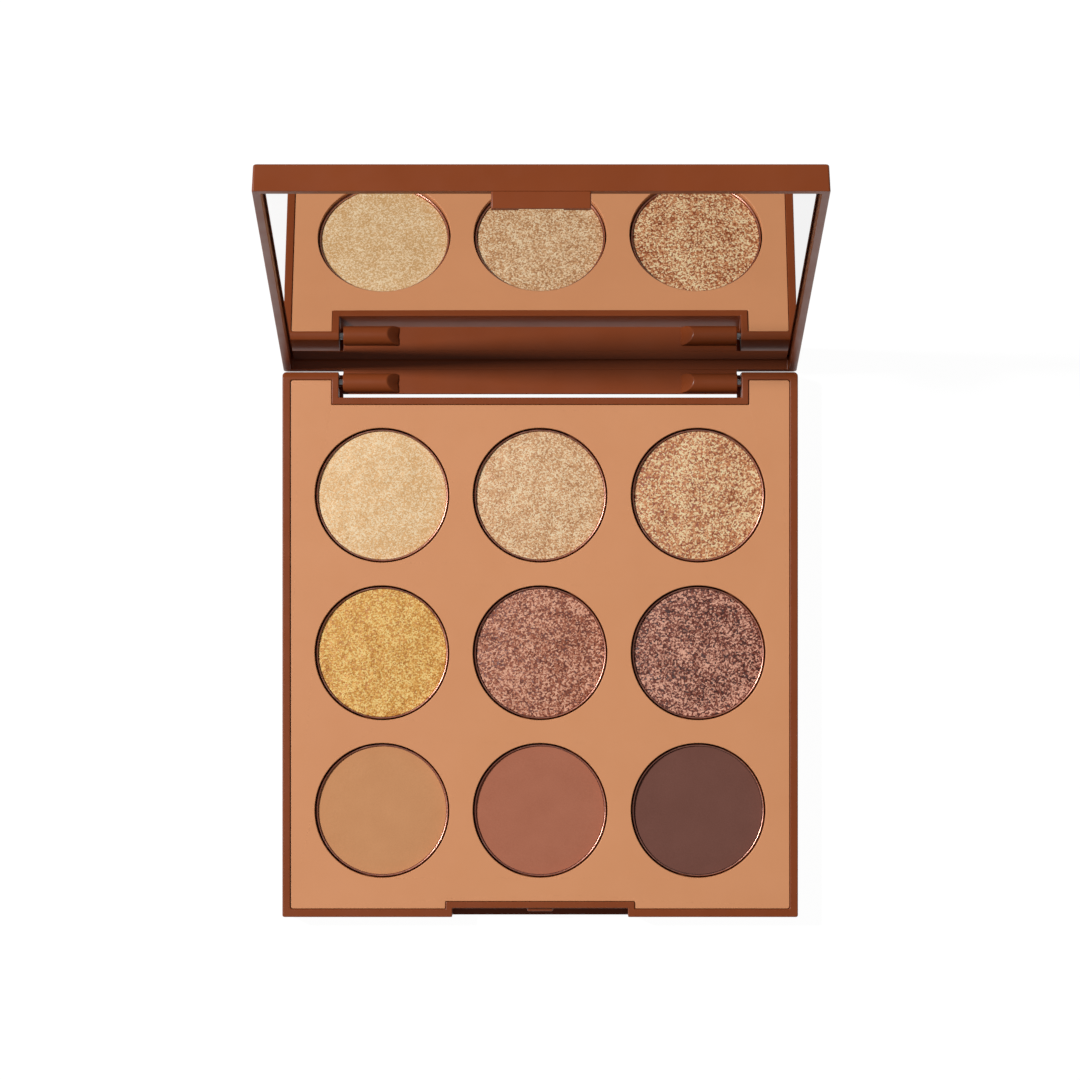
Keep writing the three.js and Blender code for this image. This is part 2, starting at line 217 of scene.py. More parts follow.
def solid(name, points, faces):
    """An object from points and faces, with doubled points merged and its faces turned outwards."""
    mesh = bpy.data.meshes.new(name)
    mesh.from_pydata(points.tolist(), [], faces)
    work = bmesh.new()
    work.from_mesh(mesh)
    bmesh.ops.remove_doubles(work, verts=work.verts, dist=0.0005 * MM)
    bmesh.ops.dissolve_degenerate(work, edges=work.edges, dist=0.0005 * MM)
    bmesh.ops.recalc_face_normals(work, faces=work.faces)
    work.to_mesh(mesh)
    work.free()
    piece = bpy.data.objects.new(name, mesh)
    bpy.context.scene.collection.objects.link(piece)
    return piece


def combine(piece, operation, others):
    """Joins other solids to a piece, or cuts them out of it, and keeps the result as its mesh."""
    for other in others:
        step = piece.modifiers.new("combine", "BOOLEAN")
        step.operation = operation
        step.solver = "EXACT"
        step.object = other
    shape = bpy.data.meshes.new_from_object(piece.evaluated_get(bpy.context.evaluated_depsgraph_get()))
    piece.modifiers.clear()
    piece.data = shape
    for other in others:
        bpy.data.objects.remove(other)
    return piece


def finish(piece, body, slot, finish_material, *nodes):
    """Smooth shading that keeps flat faces flat, the finish, and the piece's place in the frame."""
    piece.data.shade_smooth()
    piece.data.set_sharp_from_angle(angle=math.radians(40))
    weights = piece.modifiers.new("flat faces", "WEIGHTED_NORMAL")
    weights.keep_sharp = True
    weights.weight = 80
    piece.data.materials.clear()
    piece.data.materials.append(finish_material)
    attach(piece, body)
    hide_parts(*nodes)
    return piece


def opened(points):
    """Turns the closed lid's points about the hinge axis by the open angle. There y runs from the middle of
    the case and z from the plane of the lid's rim."""
    cosine, sine = math.cos(OPEN_ANGLE), math.sin(OPEN_ANGLE)
    x, y, z = np.moveaxis(np.asarray(points), -1, 0)
    y = y - HINGE_Y
    z = z + LID_RISE
    return np.stack([x, HINGE_Y + y * cosine + z * sine, HINGE_Z - y * sine + z * cosine], axis=-1)


# --- Base ------------------------------------------------------------------------------------------------

SIDE_STATIONS = np.array([1.3, 1.15, 1.0, 0.85]) * MM
BAY_STATIONS = np.array([0.3, 0.5, 0.7, 0.9, 1.1, 1.3]) * MM


def case_corners(half, front, rear, bay_half, bay_front, recess_half, recess_back):
    """Corners of the case with its thumb recess and hinge bay, anticlockwise from the front left, with extra
    points near the rear where the rim falls away."""
    right = [(half, rear - step) for step in SIDE_STATIONS]
    bay_right = [(bay_half, rear - step) for step in BAY_STATIONS]
    mirrored = [(-x, y) for x, y in reversed(right)]
    bay_left = [(-x, y) for x, y in reversed(bay_right)]
    return (
        [(-half, front), (-recess_half, front), (-recess_half, recess_back), (recess_half, recess_back)]
        + [(recess_half, front), (half, front), *right, (half, rear), (bay_half, rear), *bay_right]
        + [(bay_half, bay_front), (-bay_half, bay_front), *bay_left, (-bay_half, rear), (-half, rear)]
        + mirrored
    )


OUTER = case_corners(HALF_WIDTH, FRONT, REAR, BAY_HALF, BAY_FRONT, RECESS_HALF, RECESS_BACK)
INNER = case_corners(
    HALF_WIDTH - RIM_WALL,
    FRONT + RIM_WALL,
    REAR - RIM_WALL,
    BAY_HALF + BAY_WALL,
    BAY_FRONT - BAY_WALL,
    RECESS_HALF + RECESS_WALL,
    RECESS_BACK + RECESS_WALL,
)


def on_case_wall(corners):
    """1 for each edge that lies on the outside of the case and 0 for the walls of the recess and the bay."""
    corners = np.array(corners)
    after = np.roll(corners, -1, axis=0)
    same = np.isclose(corners, after)
    limit = np.abs(corners[:, 0]) > HALF_WIDTH - 0.1 * MM
    ends = (corners[:, 1] < FRONT + 0.1 * MM) | (corners[:, 1] > REAR - 0.1 * MM)
    return np.where((same[:, 0] & limit) | (same[:, 1] & ends), 1.0, 0.0)


def corner_radii(corners, front, rear):
    """The plan radius of every corner: those of the case at its four corners, a small one in the notches."""
    x, y = np.abs(np.array(corners)[:, 0]), np.array(corners)[:, 1]
    side = np.isclose(x, x.max())
    radii = np.full(len(corners), NOTCH_CORNER)
    radii[side & np.isclose(y, y.min())] = front
    radii[side & np.isclose(y, y.max())] = rear
    return radii


def rim_limit(y):
    """How high the base may rise: under the arc that the lid's rim sweeps about the hinge axis."""
    behind = np.maximum(np.asarray(y) - HINGE_Y, 0)
    return np.minimum(BASE_HEIGHT, HINGE_Z + np.sqrt(np.maximum(SWING_RADIUS**2 - behind**2, 0)))


def base_rows():
    """Loops of the base from the underside, up the outer wall, over the rim and down the inner wall. The
    outside leans by the draft, z tan(2 deg), and edges are quarter circles."""
    wall = on_case_wall(OUTER)
    outer_radii = corner_radii(OUTER, FRONT_CORNER, REAR_CORNER)
    inner_radii = corner_radii(INNER, INNER_CORNER, INNER_CORNER)
    edge = np.where(wall > 0, EDGE_RADIUS, NOTCH_CORNER)

    def outer_loop(z, rounding, with_recess):
        loop = outline(OUTER, outer_radii, wall * DRAFT * (BASE_HEIGHT - z) + rounding)
        if not with_recess:
            front = FRONT + DRAFT * (BASE_HEIGHT - z) + np.max(rounding)
            notch = (np.abs(loop[:, 0]) < RECESS_HALF + 2 * NOTCH_CORNER) & (loop[:, 1] < RECESS_BACK + MM)
            loop[notch, 1] = front
        share = np.clip((z - BASE_HEIGHT / 2) / (BASE_HEIGHT / 2 - RIM_EDGE), 0, 1)
        drop = (BASE_HEIGHT - rim_limit(loop[:, 1])) * share
        return level(loop, z - drop)

    rows = []
    for turn in quarter(6)[::-1]:
        rows.append(outer_loop(EDGE_RADIUS * (1 - math.sin(turn)), edge * (1 - math.cos(turn)), False))
    rows += [outer_loop(FLOOR - RECESS_SUPPORT, edge * 0, False), outer_loop(FLOOR, edge * 0, False)]
    rows += [outer_loop(z, edge * 0, True) for z in np.linspace(FLOOR, BASE_HEIGHT - RIM_EDGE, 5)]
    for turn in quarter(5)[1:]:
        z = BASE_HEIGHT - RIM_EDGE * (1 - math.sin(turn))
        rows.append(outer_loop(z, np.full(len(OUTER), RIM_EDGE * (1 - math.cos(turn))), True))
    outer_rim = rows[-1][:, :2]
    inner_rim = outline(INNER, inner_radii, -RIM_EDGE)
    for share in np.linspace(0, 1, 9)[1:]:
        loop = outer_rim * (1 - share) + inner_rim * share
        rows.append(level(loop, rim_limit(loop[:, 1])))
    for turn in quarter(5)[1:]:
        loop = outline(INNER, inner_radii, -RIM_EDGE * (1 - math.sin(turn)))
        rows.append(level(loop, BASE_HEIGHT - RIM_EDGE * (1 - math.cos(turn))))
    rows.append(level(outline(INNER, inner_radii), FLOOR))
    return rows


def block_rows(corners, radii, low, high, edge_low=0.0, edge_high=0.0, steps=4):
    """Loops of an upright block whose lower and upper edges are quarter circles of their own radii."""
    rows = []
    for turn in quarter(steps)[::-1]:
        loop = outline(corners, radii, edge_low * (1 - math.cos(turn)))
        rows.append(level(loop, low + edge_low * (1 - math.sin(turn))))
    for turn in quarter(steps):
        loop = outline(corners, radii, edge_high * (1 - math.cos(turn)))
        rows.append(level(loop, high - edge_high * (1 - math.sin(turn))))
    return rows


def rectangle(x0, x1, y0, y1):
    """Corners of a rectangle, anticlockwise from its low x and y."""
    return [(x0, y0), (x1, y0), (x1, y1), (x0, y1)]


def along_x(rows):
    """Turns loops drawn in Y and Z and stacked by height so that they are stacked along X."""
    rows = np.asarray(rows)
    return np.stack([rows[..., 2], rows[..., 0], rows[..., 1]], axis=-1)


def about_hinge(rows, y, z):
    """Turns loops stacked about Z so that they lie about a line along X at (y, z)."""
    rows = np.asarray(rows)
    return np.stack([rows[..., 2], rows[..., 0] + y, rows[..., 1] + z], axis=-1)


def pin_boss(side):
    """The rib in a rear corner of the base that holds a hinge pin."""
    reach = PIN_SEAT + BOSS_WALL
    x0, x1 = sorted((side * BAY_HALF, side * (HALF_WIDTH - RIM_WALL / 2)))
    corners = rectangle(x0, x1, HINGE_Y - reach, REAR - RIM_WALL / 2)
    top = min(HINGE_Z + reach, INSERT_BOTTOM - INSERT_FIT)
    return solid("pin_boss", *skin(block_rows(corners, BOSS_EDGE, FLOOR / 2, top, 0, BOSS_EDGE)))


def bay_ledge(side):
    """A low shelf in each end of the hinge bay, sunk a little so that none of its faces lies in the plane of
    the floor or of the underside."""
    x0, x1 = sorted((side * (BAY_HALF - BAY_LEDGE), side * (BAY_HALF + BAY_WALL / 2)))
    corners = rectangle(x0, x1, BAY_FRONT - BAY_WALL / 2, REAR - DRAFT * BASE_HEIGHT - LEDGE_SETBACK)
    rows = block_rows(corners, LEDGE_CORNER, LEDGE_SINK, FLOOR - LEDGE_SINK, LEDGE_EDGE, LEDGE_EDGE)
    return solid("bay_ledge", *skin(rows))


def catch_nub():
    """A ridge across the back of the thumb recess: its section is a round-nosed triangle,
    y = back - reach (1 - |t|), t from -1 to 1 over its height and |t| eased to sqrt(t^2 + ease), carried
    along X and drawn in at both ends."""
    turn = np.linspace(-1, 1, 17)
    nose = NUB_REACH * (1 - np.sqrt(turn**2 + NUB_EASE) + math.sqrt(NUB_EASE) * 0.4)
    height = NUB_TOP - NUB_HEIGHT / 2 + turn * NUB_HEIGHT / 2
    section = np.column_stack([RECESS_BACK - np.maximum(nose, 0), height])
    root = np.array([(RECESS_BACK + NUB_ROOT, NUB_TOP), (RECESS_BACK + NUB_ROOT, NUB_TOP - NUB_HEIGHT)])
    section = np.vstack([section, root])
    middle = np.array([RECESS_BACK + NUB_ROOT, NUB_TOP - NUB_HEIGHT / 2])
    ends = NUB_WIDTH / 2 - NUB_END * (1 - np.sin(quarter(6)))
    shares = 1 - NUB_DRAW_IN * (1 - np.cos(quarter(6)))
    stations = [*zip(-ends[::-1], shares[::-1]), *zip(ends, shares)]
    rows = [level(middle + (section - middle) * share, x) for x, share in stations]
    return solid("catch_nub", *skin(along_x(rows)))


def make_base(plastic):
    """The base with its bosses, ledges and nub joined on, and the pins' seats cut in from both sides."""
    base = solid("base_moulding", *skin(base_rows()))
    combine(base, "UNION", [pin_boss(-1), pin_boss(1), bay_ledge(-1), bay_ledge(1), catch_nub()])
    bores = []
    for side in (-1, 1):
        start = BAY_HALF - MM
        end = HALF_WIDTH + MM
        profile = [(0, start), (PIN_SEAT, start), (PIN_SEAT, end), (0, end)]
        rows = about_hinge(revolved(profile, 48), HINGE_Y, HINGE_Z)
        rows[..., 0] *= side
        bores.append(solid("pin_bore", *skin(rows)))
    combine(base, "DIFFERENCE", bores)
    return finish(base, "base", "case_plastic", plastic, "base_shell")


# --- Insert ----------------------------------------------------------------------------------------------


def aperture_profile(radius):
    """(radius, height) down through one opening: over the rounded lip, down the wall, round the foot of the
    collar and up its outside to the underside of the plate."""
    turn = quarter(6)
    lip_radius = radius + APERTURE_LIP * (1 - np.sin(turn))
    lip = list(zip(lip_radius, INSERT_TOP - APERTURE_LIP * (1 - np.cos(turn))))
    outer = radius + COLLAR_WALL
    return lip + [(radius, COLLAR_FOOT), (outer, COLLAR_FOOT), (outer, INSERT_BOTTOM)]


def make_insert(plastic):
    """The plate between its rounded edge and the nine openings, filled with triangles above and below."""
    radii = corner_radii(INNER, INNER_CORNER, INNER_CORNER)
    rows = [level(outline(INNER, radii, INSERT_FIT), INSERT_BOTTOM)]
    for turn in quarter(5):
        inset = INSERT_FIT + INSERT_EDGE * (1 - math.cos(turn))
        rows.append(level(outline(INNER, radii, inset), INSERT_TOP - INSERT_EDGE * (1 - math.sin(turn))))
    groups = [np.asarray(rows)]
    for row, column in PLACES:
        low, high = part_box(f"pan_{row}_{column}")
        radius = (high.x - low.x) / 2 + APERTURE_CLEARANCE
        centre = np.array([(low.x + high.x) / 2, (low.y + high.y) / 2, 0])
        groups.append(revolved(aperture_profile(radius)) + centre)
    points, faces, tops, bottoms = [], [], [], []
    start = 0
    for index, group in enumerate(groups):
        count, around = group.shape[:2]
        group_points, group_faces = skin(group)
        faces += [[start + k for k in face] for face in group_faces[:-2]]
        first = np.arange(around) + start
        last = first + (count - 1) * around
        tops.append(last if index == 0 else first)
        bottoms.append(first if index == 0 else last)
        points.append(group_points)
        start += len(group_points)
    points = np.vstack(points)
    for loops in (tops, bottoms):
        chain = np.concatenate(loops)
        triangles = tessellate_polygon([[Vector(p) for p in points[loop]] for loop in loops])
        faces += [[int(chain[k]) for k in triangle] for triangle in triangles]
    insert = solid("insert_moulding", points, faces)
    return finish(insert, "base", "insert_plastic", plastic, "insert_plate")


# --- Pans and powders ------------------------------------------------------------------------------------


def pan_profile(radius, height):
    """A pressed cup: rounded foot, thin wall with a full round rim, rounded inner corner."""
    turn = quarter(6)
    foot = list(zip(radius - PAN_CORNER * (1 - np.sin(turn)), PAN_CORNER * (1 - np.cos(turn))))
    half = PAN_WALL / 2
    over = np.linspace(0, math.pi, 9)
    rim = list(zip(radius - half + half * np.cos(over), height - half + half * np.sin(over)))
    return [(0, 0), *foot, *rim, (radius - PAN_WALL, PAN_FLOOR), (0, PAN_FLOOR)]


def make_pan(row, column, metal):
    """The pressed cup, turned about its own upright axis, in its place."""
    low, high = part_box(f"pan_{row}_{column}")
    rows = revolved(pan_profile((high.x - low.x) / 2, high.z - low.z))
    rows += np.array([(low.x + high.x) / 2, (low.y + high.y) / 2, low.z])
    pan = solid(f"pressed_pan_{row}_{column}", *skin(rows))
    return finish(pan, "base", "pan_metal", metal, f"pan_{row}_{column}")


POWDER_RINGS = 56
POWDER_SEGMENTS = 224
POWDER_SEED = 40
POWDER_WAVES = 36
POWDER_FADE = 1.2 * MM


def make_powder(index, row, column, relief, powder):
    """A pressed cake: its face is a very low dome, h = top - fall (r / R)^2, plus a relief that is a sum of
    plane waves, a cos(k . p + phase), of random direction and a wavelength of 0.8 to 5 mm."""
    name = f"powder_{row}_{column}"
    low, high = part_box(name)
    radius = (high.x - low.x) / 2
    turn = quarter(5)
    rim_radius = radius - POWDER_EDGE * (1 - np.cos(turn))
    rim = list(zip(rim_radius, high.z - POWDER_FALL - POWDER_EDGE * (1 - np.sin(turn))))
    rings = np.linspace(rim[-1][0], 0, POWDER_RINGS)[1:]
    profile = [(0, low.z), (radius, low.z), *rim, *zip(rings, high.z - POWDER_FALL * (rings / radius) ** 2)]
    rows = revolved(profile, POWDER_SEGMENTS)
    random = np.random.default_rng(POWDER_SEED + index)
    heading = random.uniform(0, 2 * math.pi, POWDER_WAVES)
    number = 2 * math.pi / (random.uniform(0.8, 5, POWDER_WAVES) * MM)
    phase = random.uniform(0, 2 * math.pi, POWDER_WAVES)
    x, y = rows[..., 0], rows[..., 1]
    wave = np.zeros_like(x)
    for angle, k, shift in zip(heading, number, phase):
        wave += np.cos(k * (x * math.cos(angle) + y * math.sin(angle)) + shift)
    fade = np.clip((radius - np.hypot(x, y)) / POWDER_FADE, 0, 1)
    fade[:len(profile) - len(rings)] = 0
    rows[..., 2] += relief * wave / math.sqrt(POWDER_WAVES / 2) * fade
    rows += np.array([(low.x + high.x) / 2, (low.y + high.y) / 2, 0])
    cake = solid(f"pressed_{name}", *skin(rows))
    return finish(cake, "base", name, powder, name)


# --- Hinge pins ------------------------------------------------------------------------------------------


def make_pin(side, steel):
    """A round pin along X, (x, r cos t, r sin t), with a chamfer at each end."""
    name = "hinge_pin_left" if side < 0 else "hinge_pin_right"
    low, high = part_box(name)
    radius = (high.z - low.z) / 2
    profile = [(0, low.x), (radius - PIN_CHAMFER, low.x), (radius, low.x + PIN_CHAMFER)]
    profile += [(radius, high.x - PIN_CHAMFER), (radius - PIN_CHAMFER, high.x), (0, high.x)]
    rows = about_hinge(revolved(profile, 48), (low.y + high.y) / 2, (low.z + high.z) / 2)
    return finish(solid(f"steel_{name}", *skin(rows)), "base", "pin_steel", steel, name)


# --- Lid -------------------------------------------------------------------------------------------------


def pocket_corners(inset):
    """Corners of the case in plan, moved inwards by the inset on every side."""
    return rectangle(-HALF_WIDTH + inset, HALF_WIDTH - inset, FRONT + inset, REAR - inset)


def lid_rows():
    """Loops of the lid from the middle of its outer face, round the edge, down the drafted wall, over the rim
    and up the pocket wall to the floor behind the mirror."""
    corners = pocket_corners(0)
    radii = [FRONT_CORNER, FRONT_CORNER, REAR_CORNER, REAR_CORNER]
    rows = []
    for turn in quarter(6)[::-1]:
        z = LID_DEPTH - EDGE_RADIUS * (1 - math.sin(turn))
        rows.append(level(outline(corners, radii, z * DRAFT + EDGE_RADIUS * (1 - math.cos(turn))), z))
    for turn in quarter(5):
        z = RIM_EDGE * (1 - math.sin(turn))
        rows.append(level(outline(corners, radii, z * DRAFT + RIM_EDGE * (1 - math.cos(turn))), z))
    pocket = pocket_corners(RIM_WALL)
    for turn in quarter(5)[::-1]:
        loop = outline(pocket, INNER_CORNER, -RIM_EDGE * (1 - math.cos(turn)))
        rows.append(level(loop, RIM_EDGE * (1 - math.sin(turn))))
    rows.append(level(outline(pocket, INNER_CORNER), LID_CAVITY))
    return rows


def tongue():
    """The rear wall carried down into the hinge bay: a section with a rounded heel, carried along X and drawn
    in round both ends."""
    corners = rectangle(REAR - RIM_WALL + TONGUE_SETBACK, REAR - TONGUE_SETBACK, TONGUE_FOOT, RIM_WALL / 2)
    radii = [TONGUE_CORNER, TONGUE_HEEL, TONGUE_CORNER, TONGUE_CORNER]
    rows = block_rows(corners, radii, -TONGUE_HALF, TONGUE_HALF, TONGUE_EDGE, TONGUE_EDGE)
    return solid("tongue", *skin(along_x(rows)))


def barrel(side):
    """A hinge barrel about the pin: (x, R cos t, R sin t). Its outer end is square with a blind bore, and its
    inner end is cut back one for one with the distance in front of the tongue."""
    inner = TONGUE_HALF - BARREL_LENGTH
    turn = quarter(5)
    slope_foot = REAR - RIM_WALL
    cosine, sine = np.cos(turn), np.sin(turn)
    start = [(0, 0), (BARREL_RADIUS * 0.5, 0)]
    start += list(zip(BARREL_RADIUS - BARREL_EDGE * (1 - sine), BARREL_EDGE * (1 - cosine)))
    end = list(zip(BARREL_RADIUS - BARREL_EDGE * (1 - cosine), TONGUE_HALF - BARREL_EDGE * (1 - sine)))
    mouth = 0.1 * MM
    end += [(PIN_BORE + mouth, TONGUE_HALF), (PIN_BORE, TONGUE_HALF - mouth)]
    end += [(PIN_BORE, PIN_BORE_END), (0, PIN_BORE_END)]
    rows = revolved([(r, inner + h) for r, h in start] + end, 64)
    rows = about_hinge(rows, HINGE_Y, -LID_RISE)
    cut = np.maximum(slope_foot - rows[..., 1], 0)
    cut[len(start):] = 0
    rows[..., 0] += cut
    rows[..., 0] *= side
    return solid("barrel", *skin(rows))


def latch_tab():
    """The tab at the front of the lid: a block with a groove up its inner face and a rounded foot."""
    corners = [(-TAB_HALF, TAB_FACE), (TAB_HALF, TAB_FACE), (TAB_HALF, TAB_BACK), (TAB_GROOVE_HALF, TAB_BACK)]
    corners += [(TAB_GROOVE_HALF, TAB_GROOVE_FACE), (-TAB_GROOVE_HALF, TAB_GROOVE_FACE)]
    corners += [(-TAB_GROOVE_HALF, TAB_BACK), (-TAB_HALF, TAB_BACK)]
    radii = [TAB_CORNER] * 2 + [TAB_CORNER * 2 / 3] + [GROOVE_CORNER] * 4 + [TAB_CORNER * 2 / 3]
    rows = block_rows(corners, radii, -TAB_REACH, RIM_WALL / 2, TAB_FOOT_EDGE, 0.0, 5)
    return solid("latch_tab", *skin(rows))


def make_lid(plastic):
    """The lid with its tongue, barrels and tab, joined while it is closed and then turned open. The tongue's
    inner face lies within the bores' radius, so it closes off the back of each bore and the pin runs into
    it there, out of sight."""
    lid = solid("lid_moulding", *skin(lid_rows()))
    combine(lid, "UNION", [tongue(), barrel(-1), barrel(1), latch_tab()])
    points = np.empty(3 * len(lid.data.vertices))
    lid.data.vertices.foreach_get("co", points)
    lid.data.vertices.foreach_set("co", opened(points.reshape(-1, 3)).ravel())
    lid.data.update()
    return finish(lid, "lid", "case_plastic", plastic, "lid_shell")


def make_mirror(glass):
    """Mirror glass with a narrow ground bevel all round its face."""
    corners = pocket_corners(RIM_WALL + MIRROR_FIT)
    levels = [(MIRROR_FACE, MIRROR_BEVEL), (MIRROR_FACE + MIRROR_BEVEL, 0), (MIRROR_BACK, 0)]
    rows = [level(outline(corners, INNER_CORNER, inset), z) for z, inset in levels]
    return finish(solid("mirror_glass", *skin(opened(rows))), "lid", "mirror", glass, "mirror")


# --- Finishes --------------------------------------------------------------------------------------------


def tone(red, green, blue):
    """A colour as the eye reads it, 0 to 255, as linear light."""
    value = np.array([red, green, blue]) / 255
    linear = np.where(value <= 0.04045, value / 12.92, ((value + 0.055) / 1.055) ** 2.4)
    return (*linear.tolist(), 1.0)


def new_finish(name, **sockets):
    """A material with its shader's own values set, and its coordinates on the object."""
    made = bpy.data.materials.new(name)
    made.use_nodes = True
    tree = made.node_tree
    shader = tree.nodes["Principled BSDF"]
    for key, value in sockets.items():
        shader.inputs[key.replace("_", " ")].default_value = value
    place = tree.nodes.new("ShaderNodeTexCoord").outputs["Object"]
    return made, tree, shader, place


def put(tree, kind, inputs, **settings):
    """A node with its settings, and each input either linked or given a value."""
    node = tree.nodes.new(kind)
    for key, value in settings.items():
        setattr(node, key, value)
    for key, value in inputs.items():
        if isinstance(value, bpy.types.NodeSocket):
            tree.links.new(value, node.inputs[key])
        else:
            node.inputs[key].default_value = value
    return node


def noise(tree, place, grain, detail=2.0):
    """Noise whose features are about one grain across."""
    inputs = {"Vector": place, "Scale": 1 / grain, "Detail": detail}
    return put(tree, "ShaderNodeTexNoise", inputs).outputs["Fac"]


def spread(tree, value, low, high, from_low=0.3, from_high=0.7):
    """Maps a range of values, or if none is given the middle of a noise's, to low..high."""
    inputs = {"Value": value, "From Min": from_low, "From Max": from_high, "To Min": low, "To Max": high}
    return put(tree, "ShaderNodeMapRange", inputs).outputs["Result"]


def blend(tree, factor, first, second):
    """Mixes two colours."""
    return put(tree, "ShaderNodeMix", {0: factor, 6: first, 7: second}, data_type="RGBA").outputs[2]


def bump(tree, height, depth, strength=1.0, normal=None):
    """The normal of a surface raised by the height times the depth, on top of another normal if given."""
    inputs = {"Height": height, "Distance": depth, "Strength": strength}
    if normal:
        inputs["Normal"] = normal
    return put(tree, "ShaderNodeBump", inputs).outputs["Normal"]


def plastic_finish(name, dark, light, roughness, grain, depth):
    """Moulded plastic: slow changes of tone, a fine texture from the tool and gloss that varies a little."""
    made, tree, shader, place = new_finish(name, Specular_IOR_Level=0.35)
    slow = noise(tree, place, 14 * MM, 3)
    tree.links.new(blend(tree, spread(tree, slow, 0, 1), dark, light), shader.inputs["Base Color"])
    fine = noise(tree, place, grain, 3)
    smear = noise(tree, place, 5 * MM, 4)
    tree.links.new(spread(tree, smear, roughness * 0.88, roughness * 1.12), shader.inputs["Roughness"])
    tree.links.new(bump(tree, fine, depth), shader.inputs["Normal"])
    return made


def metal_finish(name, colour, roughness, grain):
    """Bare metal with drawing lines along X and a faint mottle."""
    made, tree, shader, place = new_finish(name, Metallic=1.0)
    stretched = put(tree, "ShaderNodeMapping", {"Vector": place, "Scale": (0.15, 1, 1)}).outputs["Vector"]
    lines = noise(tree, stretched, grain, 3)
    dull = tuple(c * 0.86 for c in colour[:3]) + (1.0,)
    tree.links.new(blend(tree, spread(tree, lines, 0, 1), dull, colour), shader.inputs["Base Color"])
    tree.links.new(spread(tree, lines, roughness * 0.8, roughness * 1.25), shader.inputs["Roughness"])
    tree.links.new(bump(tree, lines, 0.004 * MM), shader.inputs["Normal"])
    return made


def mirror_finish(name):
    """Silvered glass with the faintest haze of handling."""
    made, tree, shader, place = new_finish(name, Metallic=1.0, Base_Color=(0.9, 0.9, 0.9, 1))
    haze = noise(tree, place, 22 * MM, 4)
    tree.links.new(spread(tree, haze, 0.004, 0.02, 0.45, 0.75), shader.inputs["Roughness"])
    tree.links.new(
        blend(tree, spread(tree, haze, 0, 1), (0.88, 0.875, 0.875, 1), (0.905, 0.9, 0.9, 1)),
        shader.inputs["Base Color"],
    )
    return made


def hidden_finish(name, dark, light, grain, roughness):
    """Adhesive: a soft mottle with a lumpy surface."""
    made, tree, shader, place = new_finish(name, Roughness=roughness)
    lumps = noise(tree, place, grain, 4)
    tree.links.new(blend(tree, spread(tree, lumps, 0, 1), dark, light), shader.inputs["Base Color"])
    tree.links.new(bump(tree, lumps, 0.05 * MM), shader.inputs["Normal"])
    return made


def shimmer_finish(name, dark, body, light, flake, tilt, patch=0.1, metallic=0.12, roughness=0.42):
    """Pressed shimmer: flakes a fraction of a millimetre across, each with its own tone and tilt, over slow
    patches of the darker and lighter pigment. The near-white end of the tone range is partly painted glint:
    sparkle set into the base colour on top of what the tilted flakes catch from the lamp."""
    made, tree, shader, place = new_finish(name, Metallic=metallic, Roughness=roughness)
    cells = put(tree, "ShaderNodeTexVoronoi", {"Vector": place, "Scale": 1 / flake}).outputs["Color"]
    small = put(tree, "ShaderNodeTexVoronoi", {"Vector": place, "Scale": 2.3 / flake}).outputs["Color"]
    pick = put(tree, "ShaderNodeSeparateColor", {"Color": cells}).outputs
    fine = put(tree, "ShaderNodeSeparateColor", {"Color": small}).outputs
    slow = noise(tree, place, 3.5 * MM, 4)
    total = put(tree, "ShaderNodeMix", {0: 0.28, 2: pick["Red"], 3: fine["Red"]}).outputs[0]
    mottle = spread(tree, slow, -patch, patch)
    value = put(tree, "ShaderNodeMath", {0: total, 1: mottle}, operation="ADD").outputs[0]
    ramp = put(tree, "ShaderNodeValToRGB", {"Fac": spread(tree, value, 0, 1, 0.2, 0.8)})
    # the light end of this ramp is partly painted glint: bright flecks put into the base colour
    ramp.color_ramp.elements[0].color = dark
    ramp.color_ramp.elements[1].color = light
    middle = ramp.color_ramp.elements.new(0.5)
    middle.color = body
    tree.links.new(ramp.outputs["Color"], shader.inputs["Base Color"])
    lean = put(tree, "ShaderNodeVectorMath", {0: cells, 1: (0.5, 0.5, 0.5)}, operation="SUBTRACT").outputs[0]
    lean = put(tree, "ShaderNodeVectorMath", {0: lean, "Scale": tilt}, operation="SCALE").outputs[0]
    straight = tree.nodes.new("ShaderNodeNewGeometry").outputs["Normal"]
    tilted = put(tree, "ShaderNodeVectorMath", {0: straight, 1: lean}, operation="ADD").outputs[0]
    tilted = put(tree, "ShaderNodeVectorMath", {0: tilted}, operation="NORMALIZE").outputs[0]
    tree.links.new(tilted, shader.inputs["Normal"])
    return made


def matte_finish(name, dark, light, weave):
    """Pressed matte powder: a dusty grain with the faint weave of the pressing cloth, two crossed waves."""
    made, tree, shader, place = new_finish(name, Roughness=0.9, Sheen_Weight=0.15, Sheen_Roughness=0.6)
    dust = noise(tree, place, 0.22 * MM, 3)
    slow = noise(tree, place, 6 * MM, 3)
    parts = {0: spread(tree, dust, -0.3, 0.3), 1: spread(tree, slow, 0.3, 0.7)}
    both = put(tree, "ShaderNodeMath", parts, operation="ADD").outputs[0]
    tree.links.new(blend(tree, both, dark, light), shader.inputs["Base Color"])
    threads = []
    for direction in ("X", "Y"):
        inputs = {"Vector": place, "Scale": 0.314 / weave, "Distortion": 0.6}
        inputs.update({"Detail": 1.0, "Detail Scale": 1.5})
        wave = put(tree, "ShaderNodeTexWave", inputs, bands_direction=direction)
        threads.append(wave.outputs["Fac"])
    cloth = put(tree, "ShaderNodeMath", {0: threads[0], 1: threads[1]}, operation="MULTIPLY").outputs[0]
    woven = bump(tree, cloth, 0.012 * MM, 0.5)
    tree.links.new(bump(tree, dust, 0.02 * MM, 0.6, woven), shader.inputs["Normal"])
    return made
